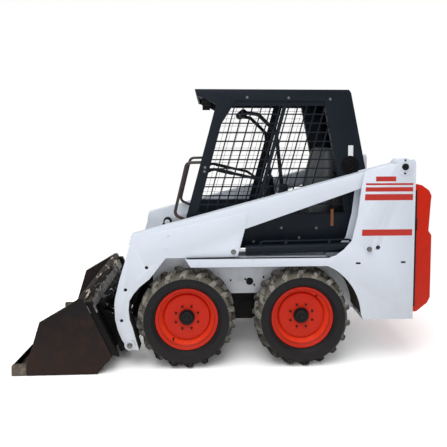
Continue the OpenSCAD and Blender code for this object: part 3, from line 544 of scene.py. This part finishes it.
# wheels: rolled rim with a dished disc, black hub cap, eight bolts and a valve
wheelSet = {
    "section": [(0, 33), (62, 33), (66, 36), (150, 36), (158, 34), (162, 28), (164, 20), (166.5, 17), (169, 21),
                (174, 33), (181, 48), (186, 60), (199, 66), (202, 70), (210, 71.5), (216, 74.5), (219.6, 73),
                (219.6, 69), (216, 66.4), (198, 66.2), (194.8, 64), (194.8, -64), (198, -66.2), (216, -66.4),
                (219.6, -69), (219.6, -73), (216, -74.5), (206, -73), (192, -68), (187, -58), (184, 0), (174, 14),
                (150, 22), (80, 24), (32, 22), (32, -139), (0, -139)],
    "hub": [(0, 62), (14, 62), (17, 59), (19, 55), (30, 54), (33, 58), (40, 59), (46, 55), (49, 48), (50, 38),
            (56, 36), (56, 32), (0, 32)],
    "steps": 72, "hubSteps": 40, "barrel": (167, 187, 16),
    "bolts": 8, "boltCircle": 84, "boltSeat": 34, "bolt": (17, 10),
    "valve": (179, 28, 64, 7), "valveTaper": 0.7, "valveSides": 14, "valveTurn": {"front": -212, "rear": -35}}


def onCircle(r, y, angle):
    return Vector((mm(r) * math.sin(angle), mm(y), mm(r) * math.cos(angle)))


def makeDisc():
    # finishes: 0 disc and flanges, 1 the outer barrel, painted lighter as a highlight
    disc = bmesh.new()
    spinSection(disc, wheelSet["section"], wheelSet["steps"])
    inner, outer, deep = wheelSet["barrel"]
    for face in disc.faces:
        onBarrel = mm(inner) < radiusOf(face) < mm(outer) and face.calc_center_median().y > mm(deep)
        face.material_index = 1 if onBarrel else 0
    return disc


def makeHub(valveAngle):
    hub = bmesh.new()
    spinSection(hub, wheelSet["hub"], wheelSet["hubSteps"])
    for i in range(wheelSet["bolts"]):
        angle = math.tau * (i + 0.5) / wheelSet["bolts"]
        addBolt(hub, onCircle(wheelSet["boltCircle"], wheelSet["boltSeat"], angle), outward, *wheelSet["bolt"])
    r, y0, y1, wide = wheelSet["valve"]
    bmesh.ops.create_cone(
        hub, cap_ends=True, segments=wheelSet["valveSides"], radius1=mm(wide), depth=mm(y1 - y0),
        radius2=mm(wide * wheelSet["valveTaper"]),
        matrix=Matrix.Translation(onCircle(r, (y0 + y1) / 2, valveAngle)) @ outward)
    return hub


def placed(source, matrix):
    bm = bmesh.new()
    addCopy(bm, source, matrix)
    return bm


tyreShape, discShape = makeTyre(), makeDisc()
for corner in ("front_left", "front_right", "rear_left", "rear_right"):
    body = "wheel_" + corner
    low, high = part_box("tyre_" + corner)
    middle = (low + high) / 2
    side = Matrix.Identity(4) if middle.y > 0 else Matrix.Scale(-1, 4, (0, 1, 0))
    seat = Matrix.Translation(middle) @ side
    tyre = finishPiece("lugged_tyre_" + corner, placed(tyreShape, seat), [sideRubber, mudRubber, dampMud], body,
                       tyreSet["smooth"])
    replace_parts(tyre, "tyre_" + corner)
    rim = finishPiece("dished_wheel_" + corner, placed(discShape, seat), [orangePaint, barrelHighlightPaint], body,
                      tyreSet["smooth"])
    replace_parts(rim, "wheel_" + corner)
    hubShape = makeHub(math.radians(wheelSet["valveTurn"][corner.split("_")[0]]))
    finishPiece("hub_and_bolts_" + corner, placed(hubShape, seat), [blackBolt], body, boltSet["smooth"])
    hubShape.free()
tyreShape.free()
discShape.free()
print("tyres and wheels made")

# red tape stripes on the uprights, their front ends cut to the lean of the opening, and a small plain label
stripeSet = {"bands": [(940, 953), (895, 925), (834, 877), (585, 629)], "front": -1221, "rear": -1578, "lean": 0.066,
             "leanFrom": 585, "thick": 0.7, "label": (-1456, 966, -1314, 1000), "boss": 4}
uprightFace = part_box("upright_left")[1].y * 1000 - stripeSet["boss"]  # outer plate, under the pivot boss


def addFlat(bm, area, y, thick):
    x0, z0, x1, z1 = area
    return addBox(bm, spot(x0, y, z0), spot(x1, y + thick, z1))


def addStripes(bm):
    middle = spot((stripeSet["front"] + stripeSet["rear"]) / 2, 0, 0).x
    for z0, z1 in stripeSet["bands"]:
        area = (stripeSet["rear"], z0, stripeSet["front"], z1)
        for v in addFlat(bm, area, uprightFace, stripeSet["thick"]):
            if v.co.x > middle:
                v.co.x -= stripeSet["lean"] * (v.co.z - spot(0, 0, stripeSet["leanFrom"]).z)
    addFlat(bm, stripeSet["label"], uprightFace, stripeSet["thick"])


pairOf("tape_stripes", addStripes, [stripeTape], "chassis")
print("stripes laid")

# cab side: bolts on washers, a flat vent cap, one blank label, a rubbed strap
cabSet = {
    "face": 375, "bolt": (13, 8), "sunk": 2,
    "washer": [(0, 0), (10, 0), (10, 1.5), (9, 2.5), (0, 2.5)], "washerSteps": 24,
    "bolts": [(-430, 1554), (-728, 1551), (-1028, 1543), (-130, 1056), (-126, 1027), (-480, 516), (-811, 542),
              (-938, 613), (-681, 616)],
    "vent": [(0, 0), (66, 0), (66, 3), (63, 4.5), (56, 4.5), (53, 2), (43, 2), (40, 4.5), (31, 4.5), (28, 2), (17, 2),
             (14, 4), (0, 4)],
    "ventAt": (-1178, 1072), "ventSteps": 48, "label": (-1200, 1133, -1164, 1213), "labelThick": 0.7,
    "strap": (-1062, 628, -1042, 752), "strapThick": 3}


def addWasherBolts(places, face, bolt):
    def build(bm):
        for x, z in places:
            addTurned(bm, cabSet["washer"], spot(x, face, z), steps=cabSet["washerSteps"])
            addBolt(bm, spot(x, face + cabSet["sunk"], z), outward, *bolt)
    return build


def addVent(bm):
    x, z = cabSet["ventAt"]
    addTurned(bm, cabSet["vent"], spot(x, cabSet["face"], z), steps=cabSet["ventSteps"])


def addLabel(bm):
    addFlat(bm, cabSet["label"], cabSet["face"], cabSet["labelThick"])


def addStrap(bm):
    addFlat(bm, cabSet["strap"], cabSet["face"], cabSet["strapThick"])


cabBolts = addWasherBolts(cabSet["bolts"], cabSet["face"], cabSet["bolt"])
pairOf("cab_bolts", cabBolts, [zincSteel], "cab", boltSet["smooth"])
pairOf("vent_cap", addVent, [chassisPaintAndShade], "cab")
pairOf("blank_label", addLabel, [whiteTape], "cab")
pairOf("rubbed_strap", addStrap, [tanWebbing], "cab")

# bolted fittings on the arms, pins and frame plates; a pin is its x, y, z and the width of its bolt
fitSet = {
    "armFace": 501, "armBolts": [(126, 597), (137, 507)], "armBolt": (12, 6),
    "pins": {"pivot": [(-1515, 527, 1067, 34)], "base": [(-1273, 524, 492, 26)],
             "arm": [(393, 510, -170, 28), (-326, 505, 478, 26)]},
    "pinCap": [(0, 0), (18, 0), (18, 5), (16, 7), (0, 7)], "pinCapFor": 26, "pinCapSteps": 24,
    "pinSunk": 6, "pinHigh": 12,
    "keepers": {"pivot": (-46, 46)}, "keeperFace": 521, "keeper": (13, 8),
    "frameFace": 300, "frameBolt": (15, 8),
    "frameBolts": [(-427, 217), (-494, 174), (-563, 231), (-274, 173), (-318, 210)],
    "plug": [(0, 0), (27, 0), (27, 4), (24, 6), (21, 6), (19, 2), (0, 2)], "plugAt": (-460, 200),
    "holes": [(274, 373), (420, 219), (449, 2)], "holeSteps": 28,
    "holeShadeDisc": [(0, -16), (11.9, -16), (11.9, -7), (10, -9), (0, -10)],
    "drains": [(-1199, 392), (-1519, 396)], "drain": (34, 12), "drainThick": 1.5, "drainRound": 0.48,
    "drainSegments": 5}


def addPinBolts(which):
    def build(bm):
        for x, y, z, across in fitSet["pins"][which]:
            cap = [(r * across / fitSet["pinCapFor"], h) for r, h in fitSet["pinCap"]]
            addTurned(bm, cap, spot(x, y, z), steps=fitSet["pinCapSteps"])
            addBolt(bm, spot(x, y + fitSet["pinSunk"], z), outward, across, fitSet["pinHigh"])
            for step in fitSet["keepers"].get(which, ()):
                addBolt(bm, spot(x, fitSet["keeperFace"], z + step), outward, *fitSet["keeper"])
    return build


def addFrameBolts(bm):
    for x, z in fitSet["frameBolts"]:
        addBolt(bm, spot(x, fitSet["frameFace"], z), outward, *fitSet["frameBolt"])
    x, z = fitSet["plugAt"]
    addTurned(bm, fitSet["plug"], spot(x, fitSet["frameFace"], z))


# dark discs sunk in the arms' holes: painted shade of the hollow arm behind them
def addHoleShades(bm):
    for x, z in fitSet["holes"]:
        addTurned(bm, fitSet["holeShadeDisc"], spot(x, fitSet["armFace"], z), steps=fitSet["holeSteps"])


# dark rounded patches on the upright: painted shade of two slots
def addSlotShades(bm):
    wide, tall = fitSet["drain"]
    for x, z in fitSet["drains"]:
        area = (x - wide / 2, z - tall / 2, x + wide / 2, z + tall / 2)
        verts = addFlat(bm, area, uprightFace, fitSet["drainThick"])
        across = [e for e in edgesAt(verts) if abs(e.verts[0].co.y - e.verts[1].co.y) > mm(1)]
        roundEdges(bm, across, tall * fitSet["drainRound"], fitSet["drainSegments"])


armBolts = addWasherBolts(fitSet["armBolts"], fitSet["armFace"], fitSet["armBolt"])
pairOf("arm_bolts", armBolts, [whitePaint], "lift_arms", boltSet["smooth"])
pairOf("pivot_bolts", addPinBolts("pivot"), [blackBolt], "chassis", boltSet["smooth"])
pairOf("base_pin_bolts", addPinBolts("base"), [zincSteel], "chassis", boltSet["smooth"])
pairOf("arm_pin_bolts", addPinBolts("arm"), [zincSteel], "lift_arms", boltSet["smooth"])
pairOf("frame_bolts", addFrameBolts, [gripRubberAndShade], "chassis", boltSet["smooth"])
pairOf("hole_shade_discs", addHoleShades, [gripRubberAndShade], "lift_arms")
pairOf("slot_shade_patches", addSlotShades, [gripRubberAndShade], "chassis")
print("bolts and labels fitted")

# right window: the same mesh in thin welded wire, clipped to the window, with the wide middle bar of its solid
screenSet = {"window": [(-237, 1350), (-69, 717), (-1145, 717), (-985, 1530), (-350, 1530)], "y": -364, "pitch": 65,
             "wire": 3, "sides": 6, "foot": (84, 400), "lean": 0.266, "high": 1240, "columns": range(-4, 14),
             "firstRow": 721, "rows": 13, "rowEnds": (100, -1300), "bar": (-435, 75), "barHalf": 3, "mostCorners": 12}


def addScreen(bm):
    y, wire, sides = screenSet["y"], screenSet["wire"], screenSet["sides"]
    x0, z0 = screenSet["foot"]
    top = z0 + screenSet["high"]
    for i in screenSet["columns"]:
        x = x0 - i * screenSet["pitch"]
        addTube(bm, [(x, y, z0), (x - screenSet["lean"] * screenSet["high"], y, top)], wire, sides=sides)
    for k in range(screenSet["rows"]):
        z = screenSet["firstRow"] + k * screenSet["pitch"]
        addTube(bm, [(x, y, z) for x in screenSet["rowEnds"]], wire, sides=sides)
    x, wide = screenSet["bar"]
    half = screenSet["barHalf"]
    for v in addBox(bm, spot(x - wide, y - half, z0), spot(x, y + half, top)):
        v.co.x -= screenSet["lean"] * (v.co.z - spot(0, 0, z0).z)
    corners = [spot(x, y, z) for x, z in screenSet["window"]]
    for a, b in zip(corners, corners[1:] + corners[:1]):
        outside = (b - a).cross(Vector((0, 1, 0)))
        bmesh.ops.bisect_plane(bm, geom=allOf(bm), plane_co=a, plane_no=outside, clear_outer=True)
        bmesh.ops.holes_fill(bm, edges=[e for e in bm.edges if e.is_boundary], sides=screenSet["mostCorners"])


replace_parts(onePiece("wire_screen", addScreen, [cabPaint], "cab"), "side_screen_right")

# lift cylinder: steel pipe along the top of the barrel, clamped, with a union at each port
pipeSet = {"y": 450, "pipe": [(-1168, 450, 522), (-1168, 450, 545), (-520, 450, 536), (-520, 450, 510)], "size": 14,
           "bend": 26, "union": (24, 14),
           "clamps": [-1010, -700], "clampHalf": (12, 13), "clampZ": (516, 552), "clampEdge": 4}


def addPipe(bm):
    addTube(bm, pipeSet["pipe"], pipeSet["size"], pipeSet["bend"])
    for end in (pipeSet["pipe"][0], pipeSet["pipe"][-1]):
        addBolt(bm, spot(*end), Matrix.Identity(4), *pipeSet["union"])
    long, deep = pipeSet["clampHalf"]
    z0, z1 = pipeSet["clampZ"]
    for x in pipeSet["clamps"]:
        verts = addBox(bm, spot(x - long, pipeSet["y"] - deep, z0), spot(x + long, pipeSet["y"] + deep, z1))
        roundEdges(bm, edgesAt(verts), pipeSet["clampEdge"])


pairOf("cylinder_pipe", addPipe, [cabPaint], "lift_barrel_side")

# work lamps: a bezel and a fluted lens in front of each housing
lampFit = {"at": (-116, 262, 1542), "steps": 40, "lens": [(0, 7), (12, 6.6), (22, 5.2), (29, 2.6), (33, 0.4), (0, 0.4)],
           "bezel": [(31, 0.2), (37.5, 0.2), (38.5, 3), (37, 8), (34, 9), (32, 6)]}


def addLampRing(which):
    return lambda bm: addTurned(bm, lampFit[which], spot(*lampFit["at"]), forward, lampFit["steps"])


pairOf("lamp_lens", addLampRing("lens"), [lampLens], "cab")
pairOf("lamp_bezel", addLampRing("bezel"), [gripRubberAndShade], "cab")

# lever boots: moulded bellows at the foot of each steering lever
bootSet = {"at": (-640, 316, 568), "steps": 24,
           "profile": [(0, 0), (17.5, 0), (17.5, 4), (14, 8), (17, 13), (13.5, 18), (16, 23), (13, 28), (14.5, 33),
                       (12, 38), (0, 38)]}


def addBoot(bm):
    addTurned(bm, bootSet["profile"], spot(*bootSet["at"]), upward, bootSet["steps"])


pairOf("lever_boot", addBoot, [gripRubberAndShade], "cab")

# tailgate: recessed latch on the left side, next to its front edge
latchSet = {"plate": (-1632, 612, -1606, 697), "face": 478, "thick": 3, "rim": 6, "deep": 2}


def addLatch(bm):
    addFlat(bm, latchSet["plate"], latchSet["face"], latchSet["thick"])
    outer = max(bm.faces, key=lambda face: face.calc_center_median().y)
    bmesh.ops.inset_region(bm, faces=[outer], thickness=mm(latchSet["rim"]), depth=mm(-latchSet["deep"]))


onePiece("tailgate_latch", addLatch, [gripRubberAndShade], "tailgate")

# rubber seals down the tailgate's front edges and under the roof's rear edge, and a dark strip on the fender bar's top
# edge as painted shade of the gap under the lift arm
trimSet = {"gapShade": (-1000, 507.5, 433, -2, 518.2, 440), "seal": (-1628, 474, 60, -1604, 479.5, 900),
           "roof": (-1176, -334, 1592, -1145, 334, 1598), "edge": 1}


def addDarkStrip(which):
    low, high = trimSet[which][:3], trimSet[which][3:]
    return lambda bm: roundEdges(bm, edgesAt(addBox(bm, spot(*low), spot(*high))), trimSet["edge"])


pairOf("fender_gap_shade", addDarkStrip("gapShade"), [gripRubberAndShade], "chassis")
pairOf("gate_seal", addDarkStrip("seal"), [gripRubberAndShade], "tailgate")
onePiece("roof_seal", addDarkStrip("roof"), [gripRubberAndShade], "cab")

# bucket: plough bolt heads along the cutting edge
ploughSet = {"x": 1112, "z": -323, "from": -480, "pitch": 160, "count": 7, "steps": 20,
             "head": [(0, 0), (17, 0), (16, 3), (11, 5.5), (0, 6.5)]}


def addPloughBolts(bm):
    for i in range(ploughSet["count"]):
        place = spot(ploughSet["x"], ploughSet["from"] + i * ploughSet["pitch"], ploughSet["z"])
        addTurned(bm, ploughSet["head"], place, upward, ploughSet["steps"])


onePiece("plough_bolts", addPloughBolts, [edgeSteel], "bucket")
print("pipes, lamps and latch fitted")

# seat: vinyl over foam, swollen between stitched seams by a cloth run, then its movement capped
seatSet = {"voxel": 6, "shrink": 9, "round": 26, "roundSegments": 4, "pressure": 4, "cap": 16, "frames": 20,
           "seams": (-95, 95), "seamWide": 5, "footFacing": -0.5, "smooth": 60,
           "heldAxis": {"seat_cushion": 2, "seat_back": 0}}


def skinOf(pad):
    # the pad's shape in even small faces, so that the cloth can swell
    remesh = pad.modifiers.new("skin", "REMESH")
    remesh.mode = "VOXEL"
    remesh.voxel_size = mm(seatSet["voxel"])
    skin = bpy.data.meshes.new_from_object(pad.evaluated_get(bpy.context.evaluated_depsgraph_get()))
    pad.modifiers.clear()
    return skin


def stuff(pad, heldAxis):
    skin = pad.data
    held = pad.vertex_groups.new(name="stitched")
    for v in skin.vertices:
        onSeam = min(abs(v.co.y - mm(y)) for y in seatSet["seams"]) < mm(seatSet["seamWide"])
        if onSeam or v.normal[heldAxis] < seatSet["footFacing"]:
            held.add([v.index], 1.0, "REPLACE")
    cloth = pad.modifiers.new("stuffing", "CLOTH")
    cloth.settings.use_pressure = True
    cloth.settings.uniform_pressure_force = seatSet["pressure"]
    cloth.settings.effector_weights.gravity = 0
    cloth.settings.vertex_group_mass = "stitched"
    cloth.point_cache.frame_end = seatSet["frames"]
    for step in range(1, seatSet["frames"] + 1):
        scene.frame_set(step)
    swollen = pad.evaluated_get(bpy.context.evaluated_depsgraph_get()).data
    moved = [v.co.copy() for v in swollen.vertices]
    pad.modifiers.clear()
    for v, to in zip(skin.vertices, moved):
        way = to - v.co
        v.co += way * min(1, mm(seatSet["cap"]) / max(way.length, 1e-6))
    scene.frame_set(1)
    finer = pad.modifiers.new("finer", "SUBSURF")
    finer.levels = finer.render_levels = 1


def padSeat(node, heldAxis):
    low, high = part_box(node)
    bm = plainMesh(node)
    shrunk = [1 - 2 * mm(seatSet["shrink"]) / size for size in high - low]
    bmesh.ops.scale(bm, vec=shrunk, space=Matrix.Translation(-(low + high) / 2), verts=bm.verts)
    roundEdges(bm, bm.edges[:], seatSet["round"], seatSet["roundSegments"], clamp=True)
    pad = finishPiece("padded_" + node, bm, [seatVinyl], nodeBody[node], seatSet["smooth"])
    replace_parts(pad, node)
    pad.data = skinOf(pad)
    stuff(pad, heldAxis)


for node, heldAxis in seatSet["heldAxis"].items():
    padSeat(node, heldAxis)
print("seat padded")

# floor: pale sweep that fades to white around the machine, brighter to the camera than to the light it bounces
floorSet = {"size": 40.0, "rough": 0.9, "tone": 0.85, "seenTone": 1.35, "fadeFrom": 1.5, "fadeTo": 2.8}
bm = bmesh.new()
bmesh.ops.create_grid(bm, x_segments=1, y_segments=1, size=floorSet["size"] / 2)
floorMesh = bpy.data.meshes.new("studio_floor")
bm.to_mesh(floorMesh)
bm.free()
floor = bpy.data.objects.new("studio_floor", floorMesh)
scene.collection.objects.link(floor)
floorPaint, tree, shader, place = newMaterial("matt_studio_floor")
shader.inputs["Roughness"].default_value = floorSet["rough"]
shader.inputs["Specular IOR Level"].default_value = 0.0
rays = addNode(tree, "ShaderNodeLightPath").outputs
direct = addNode(tree, "ShaderNodeMath", {0: rays["Is Camera Ray"], 1: rays["Is Glossy Ray"]}, operation="MAXIMUM")
seen = addNode(tree, "ShaderNodeMath", {0: direct.outputs[0], 1: rays["Is Transmission Ray"]}, operation="MAXIMUM")
tone = addNode(tree, "ShaderNodeMapRange", {
    "Value": seen.outputs[0], "To Min": floorSet["tone"], "To Max": floorSet["seenTone"]})
tree.links.new(tone.outputs["Result"], shader.inputs["Base Color"])
distance = addNode(tree, "ShaderNodeVectorMath", {0: place}, operation="LENGTH")
fade = addNode(tree, "ShaderNodeMapRange", {
    "Value": distance.outputs["Value"], "From Min": floorSet["fadeFrom"], "From Max": floorSet["fadeTo"]},
    interpolation_type="SMOOTHSTEP")
fadeSeen = addNode(tree, "ShaderNodeMath", {0: fade.outputs["Result"], 1: seen.outputs[0]}, operation="MULTIPLY")
white = addNode(tree, "ShaderNodeEmission", {"Strength": 1.0})
sweep = addNode(tree, "ShaderNodeMixShader", {0: fadeSeen.outputs[0], 1: shader.outputs[0], 2: white.outputs[0]})
tree.links.new(sweep.outputs[0], tree.nodes["Material Output"].inputs["Surface"])
floorMesh.materials.append(floorPaint)

# world: white where it is seen, half as strong where it lights
worldSet = {"light": 0.5, "seen": 1.0, "colour": (1, 1, 1, 1)}
world = bpy.data.worlds.new("studio")
scene.world = world
world.use_nodes = True
tree = world.node_tree
rays = addNode(tree, "ShaderNodeLightPath").outputs
seen = addNode(tree, "ShaderNodeMath", {0: rays["Is Camera Ray"], 1: rays["Is Transmission Ray"]}, operation="MAXIMUM")
level = addNode(tree, "ShaderNodeMapRange", {
    "Value": seen.outputs[0], "To Min": worldSet["light"], "To Max": worldSet["seen"]})
tree.links.new(level.outputs["Result"], tree.nodes["Background"].inputs["Strength"])
tree.nodes["Background"].inputs["Color"].default_value = worldSet["colour"]

# light: a broad overhead soft box, a smaller one and a weak low fill from the camera side, one behind.
# Each lamp has its place, size and watts
lampSet = {"overhead": ((0.4, 1.8, 6.0), 5.0, 240), "cameraSide": ((1.4, 4.6, 4.4), 3.5, 66),
           "lowFill": ((0.4, 5.0, 0.9), 3.0, 24), "behind": ((-4.0, -4.5, 3.5), 4.0, 60)}
lampAim = Vector((-0.1, 0, 0.8))
for name, (place, size, power) in lampSet.items():
    lamp = bpy.data.lights.new(name, "AREA")
    lamp.size = size
    lamp.energy = power
    lampObject = bpy.data.objects.new(name, lamp)
    lampObject.location = place
    lampObject.rotation_euler = (lampAim - Vector(place)).to_track_quat("-Z", "Y").to_euler()
    scene.collection.objects.link(lampObject)
print("studio lit")

# camera: fitted to the photograph; place in m, angles in radians, lens and sensor in mm
cameraSet = {"place": (0.1388, 3.3757, 1.6128), "yaw": 0.0406, "pitch": 0.0535, "lens": 33.89, "sensor": 36,
             "drop": -0.142, "reach": 100}
cameraData = bpy.data.cameras.new("photo_camera")
cameraData.lens = cameraSet["lens"]
cameraData.sensor_width = cameraSet["sensor"]
cameraData.shift_y = cameraSet["drop"]
cameraData.clip_end = cameraSet["reach"]
camera = bpy.data.objects.new("photo_camera", cameraData)
camera.location = cameraSet["place"]
yaw, pitch = cameraSet["yaw"], cameraSet["pitch"]
sight = Vector((-math.sin(yaw) * math.cos(pitch), -math.cos(yaw) * math.cos(pitch), -math.sin(pitch)))
camera.rotation_euler = sight.to_track_quat("-Z", "Y").to_euler()
scene.collection.objects.link(camera)
scene.camera = camera
